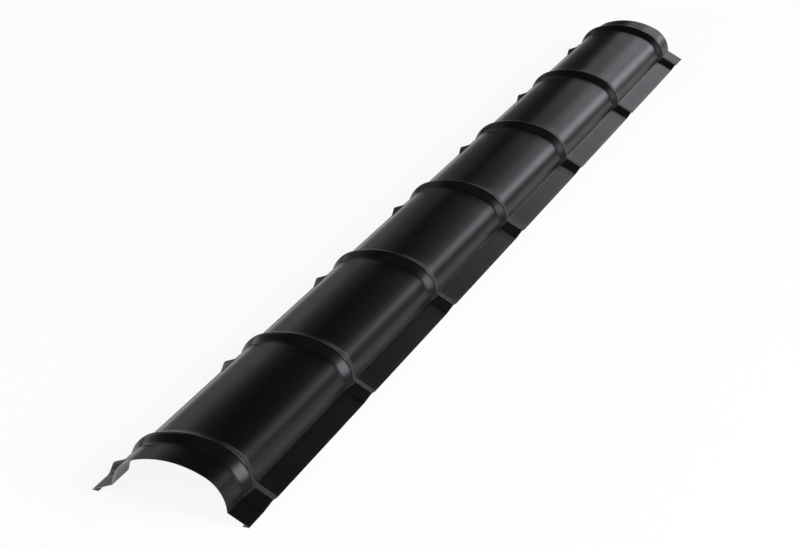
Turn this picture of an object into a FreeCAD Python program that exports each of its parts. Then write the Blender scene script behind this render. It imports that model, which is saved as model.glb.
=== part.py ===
import FreeCAD, Part
import math
import os

# Roof ridge cap: one length of thin coated steel sheet, formed to an arch with a sloped flange
# along each side, a hem folded back under each flange, and raised beads pressed across the whole
# section at an even pitch. Millimetres and degrees. +Y runs along the ridge, +Z is up, and the
# origin is the middle of the plane that the hems stand on.

# Sheet and cut length
LENGTH = 2000.0
SHEET = 0.5

# Arch, on the outer face between the beads: a flat crown arc, then a tighter haunch arc down
# to a short straight wall that leans in
CROWN_RADIUS = 136.0
CROWN_HALF_ANGLE = 22.5
HAUNCH_RADIUS = 49.0
WALL_LEAN = 8.0

# Straight wall that is left between the haunch and the top of a bead's mitre
WALL_LAND = 1.0

# Side flanges, and the hems that turn back level under them
FLANGE_WIDTH = 34.0
FLANGE_SLOPE = 25.0
HEM_WIDTH = 10.0

# Beads. A flank's width runs from the crest to where the flank would meet the plain sheet.
BEAD_PITCH = 313.0
BEAD_HEIGHT = 7.5
FLANK_WIDTH = 17.5
CREST_RADIUS = 3.0
ROOT_RADIUS = 18.0

# Least length between a cut end and the crest of the bead nearest to it
END_LAND = 60.0

ALONG = FreeCAD.Vector(0, 1, 0)
ACROSS = FreeCAD.Vector(1, 0, 0)


def normal(angle):
    """Outward normal of the section, turned by angle from straight up."""
    turn = math.radians(angle)
    return FreeCAD.Vector(math.sin(turn), 0, math.cos(turn))


def travel(angle):
    """Direction along the section, away from the crown, where the normal has that angle."""
    turn = math.radians(angle)
    return FreeCAD.Vector(math.cos(turn), 0, -math.sin(turn))


def bead_crests():
    """Places of the crests along the cap: as many as the length takes, evenly about its middle."""
    gaps = int((LENGTH - 2 * END_LAND) // BEAD_PITCH)
    first = -gaps * BEAD_PITCH / 2
    return [first + step * BEAD_PITCH for step in range(gaps + 1)]


def point(along, height):
    """Point of the bead profile, which is drawn upright in the ridge's own plane."""
    return FreeCAD.Vector(0, along, height)


def bead_side(crest, sign):
    """Points of a bead's flank on one side of its crest, from the plain sheet up: the root arc's
    start, middle and end, and the start of the crest arc."""
    drop = BEAD_HEIGHT - CREST_RADIUS
    reach = math.hypot(FLANK_WIDTH, drop)
    flank = math.atan2(drop, FLANK_WIDTH) + math.asin(CREST_RADIUS / reach)
    tangent = ROOT_RADIUS * math.tan(flank / 2)
    outward = [
        FLANK_WIDTH + tangent,
        FLANK_WIDTH + tangent - ROOT_RADIUS * math.sin(flank / 2),
        FLANK_WIDTH - tangent * math.cos(flank),
        CREST_RADIUS * math.sin(flank),
    ]
    height = [
        0,
        ROOT_RADIUS * (1 - math.cos(flank / 2)),
        tangent * math.sin(flank),
        BEAD_HEIGHT - CREST_RADIUS * (1 - math.cos(flank)),
    ]
    return [point(crest + sign * out, up) for out, up in zip(outward, height)]


def bead_edges(crest):
    """One bead's start, its profile from root to root, and its end."""
    front_foot, front_middle, front_top, front_crest = bead_side(crest, -1)
    back_foot, back_middle, back_top, back_crest = bead_side(crest, 1)
    edges = [
        Part.Arc(front_foot, front_middle, front_top).toShape(),
        Part.makeLine(front_top, front_crest),
        Part.Arc(front_crest, point(crest, BEAD_HEIGHT), back_crest).toShape(),
        Part.makeLine(back_crest, back_top),
        Part.Arc(back_top, back_middle, back_foot).toShape(),
    ]
    return front_foot, edges, back_foot


def beaded_strip():
    """Lengthwise cut through the sheet at the crown: the beaded outer line and, one sheet
    below it, the same line again."""
    outer = []
    start = point(-LENGTH / 2, 0)
    reached = start
    for crest in bead_crests():
        front_foot, edges, back_foot = bead_edges(crest)
        outer.append(Part.makeLine(reached, front_foot))
        outer.extend(edges)
        reached = back_foot
    end = point(LENGTH / 2, 0)
    outer.append(Part.makeLine(reached, end))

    through = point(0, -SHEET)
    inner = [edge.translated(through) for edge in outer]
    ends = [Part.makeLine(start, start + through), Part.makeLine(end, end + through)]
    return Part.Face(Part.Wire(Part.__sortEdges__(outer + inner + ends)))


def placed(shape, place, angle):
    """Copy of a shape drawn at the crown, turned and moved to a place on the section."""
    return shape.transformed(
        FreeCAD.Placement(place, FreeCAD.Rotation(ALONG, angle)).toMatrix(), True
    )


def ridge_cap():
    strip = beaded_strip()
    wall_angle = 90 - WALL_LEAN

    # At the fold the wall and the flange meet on the plane that halves the angle between them,
    # so a bead's crest stops short of the fold line on both of them.
    mitre_angle = (wall_angle + FLANGE_SLOPE) / 2
    crest_setback = BEAD_HEIGHT * math.tan(math.radians(wall_angle - FLANGE_SLOPE) / 2)
    wall_run = crest_setback + WALL_LAND

    # Places on the outer face, from the crown down, with the crown at height 0
    crown = FreeCAD.Vector(0, 0, 0)
    crown_centre = crown - normal(0) * CROWN_RADIUS
    haunch = crown_centre + normal(CROWN_HALF_ANGLE) * CROWN_RADIUS
    haunch_centre = haunch - normal(CROWN_HALF_ANGLE) * HAUNCH_RADIUS
    wall = haunch_centre + normal(wall_angle) * HAUNCH_RADIUS
    fold = wall + travel(wall_angle) * wall_run
    flange_edge = fold + travel(FLANGE_SLOPE) * FLANGE_WIDTH

    # Everything on the flange's side of the mitre plane
    reach = 2 * (FLANGE_WIDTH + wall_run + BEAD_HEIGHT)
    beyond_mitre = placed(
        Part.makeBox(reach, 2 * LENGTH, 2 * reach, FreeCAD.Vector(0, -LENGTH, -reach)),
        fold,
        mitre_angle,
    )

    crown_half = placed(strip, crown, 0).revolve(crown_centre, ALONG, CROWN_HALF_ANGLE)
    haunch_solid = placed(strip, haunch, CROWN_HALF_ANGLE).revolve(
        haunch_centre, ALONG, wall_angle - CROWN_HALF_ANGLE
    )
    wall_solid = placed(strip, wall, wall_angle).extrude(travel(wall_angle) * reach / 2)
    wall_solid = wall_solid.cut(beyond_mitre)

    edge_strip = placed(strip, flange_edge, FLANGE_SLOPE)
    flange_solid = edge_strip.extrude(travel(FLANGE_SLOPE) * -reach / 2)
    flange_solid = flange_solid.common(beyond_mitre)
    hem_solid = edge_strip.extrude(ACROSS * -HEM_WIDTH)

    half = crown_half.multiFuse([haunch_solid, wall_solid, flange_solid, hem_solid])
    whole = half.fuse(half.mirror(crown, ACROSS)).removeSplitter()

    # The hem's lower face is the base
    base = flange_edge - normal(FLANGE_SLOPE) * SHEET
    return whole.translated(FreeCAD.Vector(0, 0, -base.z))


os.makedirs("parts", exist_ok=True)
ridge_cap().exportStep("parts/ridge_cap.step")
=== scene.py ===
import math

import bpy
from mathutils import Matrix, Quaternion, Vector


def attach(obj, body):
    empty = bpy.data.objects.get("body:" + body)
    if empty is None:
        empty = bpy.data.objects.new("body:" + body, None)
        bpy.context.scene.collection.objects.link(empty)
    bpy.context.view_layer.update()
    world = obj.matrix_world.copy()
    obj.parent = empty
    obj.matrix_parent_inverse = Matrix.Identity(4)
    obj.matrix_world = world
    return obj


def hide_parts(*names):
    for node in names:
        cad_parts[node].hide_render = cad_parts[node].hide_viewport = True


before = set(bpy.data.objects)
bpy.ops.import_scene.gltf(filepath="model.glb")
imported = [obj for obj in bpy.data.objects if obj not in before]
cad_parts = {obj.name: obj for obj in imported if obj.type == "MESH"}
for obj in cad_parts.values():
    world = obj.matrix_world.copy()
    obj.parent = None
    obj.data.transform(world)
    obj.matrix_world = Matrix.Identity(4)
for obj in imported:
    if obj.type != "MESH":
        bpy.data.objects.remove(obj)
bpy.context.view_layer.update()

# Driving sizes of the cap, in metres and degrees: +Y along the ridge, +Z up, base at height 0
LENGTH = 2.0
SHEET = 0.0005
CROWN_RADIUS = 0.136
CROWN_HALF_ANGLE = 22.5
HAUNCH_RADIUS = 0.049
WALL_LEAN = 8.0
WALL_LAND = 0.001
FLANGE_WIDTH = 0.034
FLANGE_SLOPE = 25.0
HEM_WIDTH = 0.010
BEAD_PITCH = 0.313
BEAD_HEIGHT = 0.0075
BEADS = 7

# Bend radii of the thin sheet, on its outer face
CREASE_RADIUS = 0.0007
HEM_BEND_RADIUS = 0.00055

# Rounding of a bead, fuller than in the solid: its flanks then show the photograph's soft patch
# of light, and its crest and root the two bright lines
FLANK_WIDTH = 0.0185
CREST_RADIUS = 0.010
ROOT_RADIUS = 0.016

# Mesh divisions across the section, from the crown to the hem, and along the cap
CROWN_STEPS = 10
HAUNCH_STEPS = 18
WALL_STEPS = 3
CREASE_STEPS = 5
FLANGE_STEPS = 5
BEND_STEPS = 6
HEM_STEPS = 3
ROOT_STEPS = 5
FLANK_STEPS = 4
CREST_STEPS = 5
PLAIN_STEPS = 10

# Mesh edges that turn further than this, in degrees, are shaded sharp
SHARP_ANGLE = 50.0

# Surfaces: colours from dark to light, range of roughness, and the outer coat's specular level
COAT_SHADES = [(0.0012, 0.0014, 0.0018), (0.0016, 0.0018, 0.0023), (0.0032, 0.0035, 0.0041)]
COAT_ROUGHNESS = (0.285, 0.315)
COAT_SPECULAR = 0.18
BACK_SHADES = [(0.13, 0.135, 0.14), (0.16, 0.165, 0.17), (0.18, 0.185, 0.19)]
BACK_ROUGHNESS = (0.45, 0.55)
EDGE_SHADES = [(0.25, 0.26, 0.27), (0.45, 0.46, 0.47)]
EDGE_ROUGHNESS = (0.35, 0.55)

# Noise on the surfaces: features per metre and levels of finer detail, then the span in which
# noise keeps for the most part
MOTTLE = (25.0, 3)
BLOTCH = (40.0, 4)
SHEAR = (900.0, 2)
GRAIN = (1400.0, 2)
GRAIN_STRENGTH = 0.15
GRAIN_DEPTH = 0.00004
NOISE_SPAN = (0.3, 0.7)

# Rolling marks: features per metre across the sheet and along it, levels of finer detail, and
# how far the marks reach through the shades of the outer coat and of the back coat
MARK_SCALE = (320.0, 3.0)
MARK_DETAIL = 2
COAT_MARKS = 0.6
BACK_MARKS = 0.5

# Along crests and bends: what burnish takes off the roughness, how far a painted highlight
# lifts the colour's shade there, and how sharply both follow a bead's crest
BURNISH = 0.04
CREST_HIGHLIGHT_SHADE = 0.4
CREST_SHARPNESS = 16

# Stage. FLOOR_WHITE is the share of plain white in what the camera and reflections see of the
# floor, and the rest of it takes the light and the shadows.
FLOOR_REACH = 40.0
FLOOR_COLOUR = (0.9, 0.9, 0.9, 1)
FLOOR_WHITE = 0.9
WORLD_COLOUR = (1, 1, 1, 1)
WORLD_STRENGTH = 0.03
LAMP_COLOUR = (0.98, 0.999, 1.05)

# Softboxes, all at one distance: name, azimuth and elevation in degrees, width and height in
# metres, and radiance. Those past the far end of the cap are set up again past its near end.
SOFTBOX_DISTANCE = 5.0
SIDE_SOFTBOXES = [
    ("key_right", 97, 27, 2.2, 2.8, 14.0),
    ("key_top", 90, 56, 1.6, 1.4, 0.9),
    ("fill_right", 71, 24, 1.8, 2.2, 3.5),
    ("left_high", -60, 38, 1.6, 1.6, 0.8),
    ("left_side", -74, 20, 1.2, 1.6, 3.6),
    ("near_right", 140, 28, 1.6, 1.4, 3.5),
    ("near_left", -140, 28, 1.6, 1.4, 3.5),
    ("overhead", 0, 88, 4.0, 4.0, 0.2),
]
END_SOFTBOXES = [
    ("right_low", 54, 9, 1.2, 1.0, 2.3),
    ("right_high", 39, 29, 1.6, 1.5, 1.6),
    ("back_right", 21, 16, 1.2, 1.0, 5.5),
    ("back_low", 18, 8, 1.0, 0.6, 2.4),
    ("back", 6, 20, 1.3, 0.9, 2.8),
    ("back_left", -7, 17, 1.0, 0.6, 1.5),
    ("left_near", -28, 22, 0.8, 1.6, 0.2),
    ("left_back", -43, 18, 1.8, 1.4, 0.7),
]

# Camera, from the fit to the photograph's outline, and how far it sees
CAMERA_PLACE = (1.0802, -2.8737, 1.3272)
CAMERA_TARGET = (0.02326, -0.30648, 0.04)
CAMERA_ROLL = 1.057
CAMERA_LENS = 89.236
SENSOR_WIDTH = 36.0
CAMERA_REACH = 200.0


def normal(angle):
    """Outward normal in the section's plane, turned by angle from straight up."""
    turn = math.radians(angle)
    return Vector((math.sin(turn), math.cos(turn)))


def travel(angle):
    """Direction along the section, away from the crown, where the normal has that angle."""
    turn = math.radians(angle)
    return Vector((math.cos(turn), -math.sin(turn)))


def spread(start, end, steps):
    """Evenly spaced values from start to end, both included."""
    return [start + (end - start) * step / steps for step in range(steps + 1)]


HALF_CIRCLE = 180.0
WALL_ANGLE = HALF_CIRCLE / 2 - WALL_LEAN
HALF_TURN = math.radians(WALL_ANGLE - FLANGE_SLOPE) / 2
MITRE_ANGLE = (WALL_ANGLE + FLANGE_SLOPE) / 2
WALL_RUN = BEAD_HEIGHT * math.tan(HALF_TURN) + WALL_LAND

# Places on the plain section with its crown at height 0, and the lift that then brings the hem's
# lower face to height 0
CROWN_TO_HAUNCH = normal(CROWN_HALF_ANGLE)
CROWN_CENTRE = Vector((0, 0)) - normal(0) * CROWN_RADIUS
HAUNCH_CENTRE = CROWN_CENTRE + CROWN_TO_HAUNCH * (CROWN_RADIUS - HAUNCH_RADIUS)
FOLD = HAUNCH_CENTRE + normal(WALL_ANGLE) * HAUNCH_RADIUS + travel(WALL_ANGLE) * WALL_RUN
FLANGE_EDGE = FOLD + travel(FLANGE_SLOPE) * FLANGE_WIDTH
BASE = FLANGE_EDGE - normal(FLANGE_SLOPE) * SHEET
LIFT = Vector((0, -BASE.y))


def arc_points(centre, radius, start, end, steps):
    return [centre + normal(angle) * radius for angle in spread(start, end, steps)]


def line_points(start, end, steps):
    """Points between two ends, without the ends themselves."""
    return [start.lerp(end, step / steps) for step in range(1, steps)]


def half_section(raised, depth):
    """One side of the sheet's section from crown to hem edge, for a bead that raises it, at a
    depth below the outer face: 0 is the outer face and SHEET the inner one."""
    crown_centre = CROWN_CENTRE + LIFT
    haunch_centre = HAUNCH_CENTRE + LIFT
    offset = raised - depth
    points = arc_points(crown_centre, CROWN_RADIUS + offset, 0, CROWN_HALF_ANGLE, CROWN_STEPS)
    points.pop()
    points += arc_points(
        haunch_centre, HAUNCH_RADIUS + offset, CROWN_HALF_ANGLE, WALL_ANGLE, HAUNCH_STEPS
    )

    # The crease is an arc on the mitre between wall and flange, its centre outside the cap
    crease_centre = (
        FOLD + LIFT + normal(MITRE_ANGLE) * (raised + CREASE_RADIUS) / math.cos(HALF_TURN)
    )
    crease = [
        crease_centre - normal(angle) * (CREASE_RADIUS + depth)
        for angle in spread(WALL_ANGLE, FLANGE_SLOPE, CREASE_STEPS)
    ]
    points += line_points(points[-1], crease[0], WALL_STEPS)
    points += crease

    # The hem's bend touches the flange above and the base below, and rises with a bead
    edge_rise = FLANGE_EDGE.y - BASE.y
    slope = math.radians(FLANGE_SLOPE)
    setback = HEM_BEND_RADIUS - (edge_rise - HEM_BEND_RADIUS) * math.cos(slope)
    bend_centre = Vector((FLANGE_EDGE.x - setback / math.sin(slope), HEM_BEND_RADIUS))
    shift = normal(FLANGE_SLOPE) * raised
    bend = arc_points(
        bend_centre + shift, HEM_BEND_RADIUS - depth, FLANGE_SLOPE, HALF_CIRCLE, BEND_STEPS
    )
    points += line_points(points[-1], bend[0], FLANGE_STEPS)
    points += bend
    hem_edge = Vector((BASE.x - HEM_WIDTH, depth)) + shift
    points += line_points(points[-1], hem_edge, HEM_STEPS)
    points.append(hem_edge)
    return points


def full_section(raised, depth):
    """The whole section, from the left hem's edge over the crown to the right hem's edge."""
    right = half_section(raised, depth)
    left = [Vector((-point.x, point.y)) for point in right[:0:-1]]
    return left + right


# A bead's flank, and how far from the crest its arcs end: the crest arc, then the root arc's
# top and foot
CREST_DROP = BEAD_HEIGHT - CREST_RADIUS
FLANK_ANGLE = math.atan2(CREST_DROP, FLANK_WIDTH) + math.asin(
    CREST_RADIUS / math.hypot(FLANK_WIDTH, CREST_DROP)
)
ROOT_TANGENT = ROOT_RADIUS * math.tan(FLANK_ANGLE / 2)
CREST_END = CREST_RADIUS * math.sin(FLANK_ANGLE)
ROOT_TOP = FLANK_WIDTH - ROOT_TANGENT * math.cos(FLANK_ANGLE)
ROOT_FOOT = FLANK_WIDTH + ROOT_TANGENT


def bead_height(out):
    """Height of a bead at a distance out from its crest."""
    if out <= CREST_END:
        return CREST_DROP + math.sqrt(CREST_RADIUS**2 - out**2)
    if out <= ROOT_TOP:
        return (FLANK_WIDTH - out) * math.tan(FLANK_ANGLE)
    return ROOT_RADIUS - math.sqrt(ROOT_RADIUS**2 - (ROOT_FOOT - out) ** 2)


def bead_stations(crest):
    """Stations through a bead from front to back, each with its height."""
    outs = spread(0, CREST_END, CREST_STEPS)[:-1]
    outs += spread(CREST_END, ROOT_TOP, FLANK_STEPS)[:-1]
    outs += spread(ROOT_TOP, ROOT_FOOT, ROOT_STEPS)
    front = [(crest - out, bead_height(out)) for out in outs[:0:-1]]
    back = [(crest + out, bead_height(out)) for out in outs]
    return front + back


def stations():
    """Places along the cap where it gets a section, and how far a bead raises it there."""
    places = []
    reached = -LENGTH / 2
    for bead in range(BEADS):
        crest = (bead - (BEADS - 1) / 2) * BEAD_PITCH
        bead_places = bead_stations(crest)
        first = bead_places[0][0]
        places += [(along, 0.0) for along in spread(reached, first, PLAIN_STEPS)[:-1]]
        places += bead_places
        reached = places.pop()[0]
    places += [(along, 0.0) for along in spread(reached, LENGTH / 2, PLAIN_STEPS)]
    return places


def developed():
    """Distance across the flat sheet to each point of the plain section."""
    section = full_section(0, 0)
    distances = [0.0]
    for one, two in zip(section, section[1:]):
        distances.append(distances[-1] + (two - one).length)
    return distances


# How far bending works each point of a half section: 1 in the crease and in the hem's bend
HALF_WORKED = (
    [0.0] * (CROWN_STEPS + HAUNCH_STEPS + WALL_STEPS)
    + [1.0] * (CREASE_STEPS + 1)
    + [0.0] * (FLANGE_STEPS - 1)
    + [1.0] * (BEND_STEPS + 1)
    + [0.0] * HEM_STEPS
)
SECTION_WORKED = HALF_WORKED[:0:-1] + HALF_WORKED

OUTER, INNER, CUT = 0, 1, 2


def cap_mesh():
    """Closed mesh of the sheet: outer face, inner face and the cut edges all round. It carries
    places on the flat sheet as a UV map, and how much the forming worked each point."""
    vertices = []
    sheet_places = []
    worked = []
    across = developed()
    rows = {0.0: [], SHEET: []}
    for along, raised in stations():
        # Bead crests count as worked too: there the outer coat is burnished and carries a painted
        # highlight
        crest = (raised / BEAD_HEIGHT) ** CREST_SHARPNESS
        for depth, kept in rows.items():
            row = []
            for index, point in enumerate(full_section(raised, depth)):
                row.append(len(vertices))
                vertices.append((point.x, along, point.y))
                sheet_places.append((across[index], along))
                worked.append(max(crest, SECTION_WORKED[index]))
            kept.append(row)
    outer = rows[0.0]
    inner = rows[SHEET]
    faces = []
    kinds = []

    def add(face, kind):
        faces.append(face)
        kinds.append(kind)

    last = len(outer) - 1
    for here in range(last):
        there = here + 1
        for one in range(len(outer[here]) - 1):
            two = one + 1
            add((outer[here][one], outer[here][two], outer[there][two], outer[there][one]), OUTER)
            add((inner[here][one], inner[there][one], inner[there][two], inner[here][two]), INNER)
        add((outer[here][0], outer[there][0], inner[there][0], inner[here][0]), CUT)
        add((outer[here][-1], inner[here][-1], inner[there][-1], outer[there][-1]), CUT)
    for one in range(len(outer[0]) - 1):
        two = one + 1
        add((outer[0][one], inner[0][one], inner[0][two], outer[0][two]), CUT)
        add((outer[last][one], outer[last][two], inner[last][two], inner[last][one]), CUT)

    mesh = bpy.data.meshes.new("ridge_cap_sheet")
    mesh.from_pydata(vertices, [], faces)
    mesh.polygons.foreach_set("material_index", kinds)
    mesh.attributes.new("worked", "FLOAT", "POINT").data.foreach_set("value", worked)
    sheet_map = mesh.uv_layers.new(name="sheet")
    for loop, place in zip(mesh.loops, sheet_map.data):
        place.uv = sheet_places[loop.vertex_index]
    mesh.shade_smooth()
    mesh.set_sharp_from_angle(angle=math.radians(SHARP_ANGLE))
    mesh.validate()
    return mesh


def new_material(name):
    material = bpy.data.materials.new(name)
    material.use_nodes = True
    tree = material.node_tree
    return material, tree, tree.nodes["Principled BSDF"]


def new_node(tree, kind, **inputs):
    """Node with some inputs set: a number or colour is written in, an output is linked."""
    node = tree.nodes.new(kind)
    for name, value in inputs.items():
        socket = node.inputs[name.replace("_", " ")]
        if isinstance(value, bpy.types.NodeSocket):
            tree.links.new(value, socket)
        else:
            socket.default_value = value
    return node


def arithmetic(tree, operation, *values):
    node = tree.nodes.new("ShaderNodeMath")
    node.operation = operation
    for socket, value in zip(node.inputs, values):
        if isinstance(value, bpy.types.NodeSocket):
            tree.links.new(value, socket)
        else:
            socket.default_value = value
    return node.outputs["Value"]


def noise(tree, vector, scale, detail):
    node = new_node(tree, "ShaderNodeTexNoise", Vector=vector, Scale=scale, Detail=detail)
    return node.outputs["Fac"]


def between(tree, value, low, high):
    """Spreads noise, which keeps near its middle, over a range."""
    low_noise, high_noise = NOISE_SPAN
    node = new_node(
        tree,
        "ShaderNodeMapRange",
        Value=value,
        From_Min=low_noise,
        From_Max=high_noise,
        To_Min=low,
        To_Max=high,
    )
    return node.outputs["Result"]


def shades(tree, factor, colours):
    """Colour ramp through evenly spaced colours."""
    node = new_node(tree, "ShaderNodeValToRGB", Fac=factor)
    stops = node.color_ramp.elements
    while len(stops) < len(colours):
        stops.new(1.0)
    for index, colour in enumerate(colours):
        stops[index].position = index / (len(colours) - 1)
        stops[index].color = (*colour, 1)
    return node.outputs["Color"]


def object_places(tree):
    return tree.nodes.new("ShaderNodeTexCoord").outputs["Object"]


def rolling_marks(tree):
    """Noise drawn out along the sheet, as the coating line leaves it."""
    sheet = tree.nodes.new("ShaderNodeUVMap")
    sheet.uv_map = "sheet"
    stretched = new_node(
        tree, "ShaderNodeMapping", Vector=sheet.outputs["UV"], Scale=(*MARK_SCALE, 1)
    )
    return noise(tree, stretched.outputs["Vector"], scale=1.0, detail=MARK_DETAIL)


def worked_places(tree):
    node = tree.nodes.new("ShaderNodeAttribute")
    node.attribute_name = "worked"
    return node.outputs["Fac"]


def grained(tree, places):
    """Normal of a coating's fine grain."""
    bump = new_node(
        tree,
        "ShaderNodeBump",
        Height=noise(tree, places, *GRAIN),
        Strength=GRAIN_STRENGTH,
        Distance=GRAIN_DEPTH,
    )
    return bump.outputs["Normal"]


def outer_coat():
    """Satin black coil coating: fine grain, faint rolling marks, burnished along crests and bends,
    where a painted highlight also lightens its colour.
    """
    material, tree, shader = new_material("black_coating")
    places = object_places(tree)
    worked = worked_places(tree)
    marks = between(tree, rolling_marks(tree), 0.0, COAT_MARKS)
    # Painted highlight: the coat's colour is lighter along bead crests and bends
    shade = arithmetic(tree, "MULTIPLY_ADD", worked, CREST_HIGHLIGHT_SHADE, marks)
    roughness = between(tree, noise(tree, places, *MOTTLE), *COAT_ROUGHNESS)
    roughness = arithmetic(tree, "MULTIPLY_ADD", worked, -BURNISH, roughness)
    tree.links.new(shades(tree, shade, COAT_SHADES), shader.inputs["Base Color"])
    tree.links.new(roughness, shader.inputs["Roughness"])
    tree.links.new(grained(tree, places), shader.inputs["Normal"])
    shader.inputs["Specular IOR Level"].default_value = COAT_SPECULAR
    return material


def back_coat():
    """Grey back coating on the inner face: thin, slightly blotchy, with the same rolling marks."""
    material, tree, shader = new_material("back_coating")
    places = object_places(tree)
    blotch = noise(tree, places, *BLOTCH)

    # Noise has its middle at a half, so half the marks' weight comes off again
    shade = arithmetic(tree, "MULTIPLY_ADD", rolling_marks(tree), BACK_MARKS, blotch)
    shade = arithmetic(tree, "SUBTRACT", shade, BACK_MARKS / 2)
    tree.links.new(shades(tree, shade, BACK_SHADES), shader.inputs["Base Color"])
    tree.links.new(between(tree, blotch, *BACK_ROUGHNESS), shader.inputs["Roughness"])
    tree.links.new(grained(tree, places), shader.inputs["Normal"])
    return material


def cut_edge():
    """Bare edge of the zinc-coated steel where the sheet was sheared."""
    material, tree, shader = new_material("cut_edge")
    shear = noise(tree, object_places(tree), *SHEAR)
    tree.links.new(shades(tree, shear, EDGE_SHADES), shader.inputs["Base Color"])
    tree.links.new(between(tree, shear, *EDGE_ROUGHNESS), shader.inputs["Roughness"])
    shader.inputs["Metallic"].default_value = 1.0
    return material


def build_cap():
    cap = bpy.data.objects.new("ridge_cap_sheet", cap_mesh())
    bpy.context.collection.objects.link(cap)
    for material in (outer_coat(), back_coat(), cut_edge()):
        cap.data.materials.append(material)
    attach(cap, "root")
    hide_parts("ridge_cap")


def floor_material():
    """Pale floor: white to the camera and in reflections, and still taking a soft shadow."""
    material, tree, shader = new_material("pale_floor")
    shader.inputs["Base Color"].default_value = FLOOR_COLOUR
    shader.inputs["Roughness"].default_value = 1.0
    shader.inputs["Specular IOR Level"].default_value = 0.0
    rays = tree.nodes.new("ShaderNodeLightPath").outputs
    seen = arithmetic(tree, "MAXIMUM", rays["Is Camera Ray"], rays["Is Glossy Ray"])
    seen = arithmetic(tree, "MAXIMUM", seen, rays["Is Transmission Ray"])
    white = new_node(tree, "ShaderNodeEmission", Strength=1.0)
    mix = tree.nodes.new("ShaderNodeMixShader")
    tree.links.new(arithmetic(tree, "MULTIPLY", seen, FLOOR_WHITE), mix.inputs["Fac"])
    tree.links.new(shader.outputs["BSDF"], mix.inputs[1])
    tree.links.new(white.outputs["Emission"], mix.inputs[2])
    tree.links.new(mix.outputs["Shader"], tree.nodes["Material Output"].inputs["Surface"])
    return material


def build_floor():
    mesh = bpy.data.meshes.new("floor")
    corners = [(-1, -1, 0), (1, -1, 0), (1, 1, 0), (-1, 1, 0)]
    mesh.from_pydata([Vector(corner) * FLOOR_REACH for corner in corners], [], [(0, 1, 2, 3)])
    mesh.materials.append(floor_material())
    floor = bpy.data.objects.new("floor", mesh)
    bpy.context.collection.objects.link(floor)


def softbox(name, azimuth, elevation, width, height, radiance):
    """Area lamp that faces the cap's middle from a direction: azimuth is from +Y towards +X."""
    turn = math.radians(azimuth)
    lift = math.radians(elevation)
    direction = Vector(
        (math.sin(turn) * math.cos(lift), math.cos(turn) * math.cos(lift), math.sin(lift))
    )
    lamp = bpy.data.lights.new(name, "AREA")
    lamp.shape = "RECTANGLE"
    lamp.size = width
    lamp.size_y = height
    lamp.energy = radiance * width * height * math.pi
    lamp.color = LAMP_COLOUR
    holder = bpy.data.objects.new(name, lamp)
    holder.location = direction * SOFTBOX_DISTANCE
    holder.rotation_euler = (-direction).to_track_quat("-Z", "Y").to_euler()
    bpy.context.collection.objects.link(holder)


def build_lights():
    for row in SIDE_SOFTBOXES + END_SOFTBOXES:
        softbox(*row)
    for name, azimuth, *rest in END_SOFTBOXES:
        softbox(name + "_near_end", azimuth + HALF_CIRCLE, *rest)
    world = bpy.data.worlds.new("studio")
    world.use_nodes = True
    backdrop = world.node_tree.nodes["Background"]
    backdrop.inputs["Color"].default_value = WORLD_COLOUR
    backdrop.inputs["Strength"].default_value = WORLD_STRENGTH
    bpy.context.scene.world = world


def build_camera():
    lens = bpy.data.cameras.new("camera")
    lens.lens = CAMERA_LENS
    lens.sensor_width = SENSOR_WIDTH
    lens.clip_end = CAMERA_REACH
    camera = bpy.data.objects.new("camera", lens)
    camera.location = CAMERA_PLACE
    aim = Vector(CAMERA_TARGET) - Vector(CAMERA_PLACE)
    roll = Quaternion((0, 0, 1), math.radians(CAMERA_ROLL))
    camera.rotation_euler = (aim.to_track_quat("-Z", "Y") @ roll).to_euler()
    bpy.context.collection.objects.link(camera)
    bpy.context.scene.camera = camera


build_cap()
build_floor()
build_lights()
build_camera()
bpy.context.scene.view_settings.view_transform = "Standard"
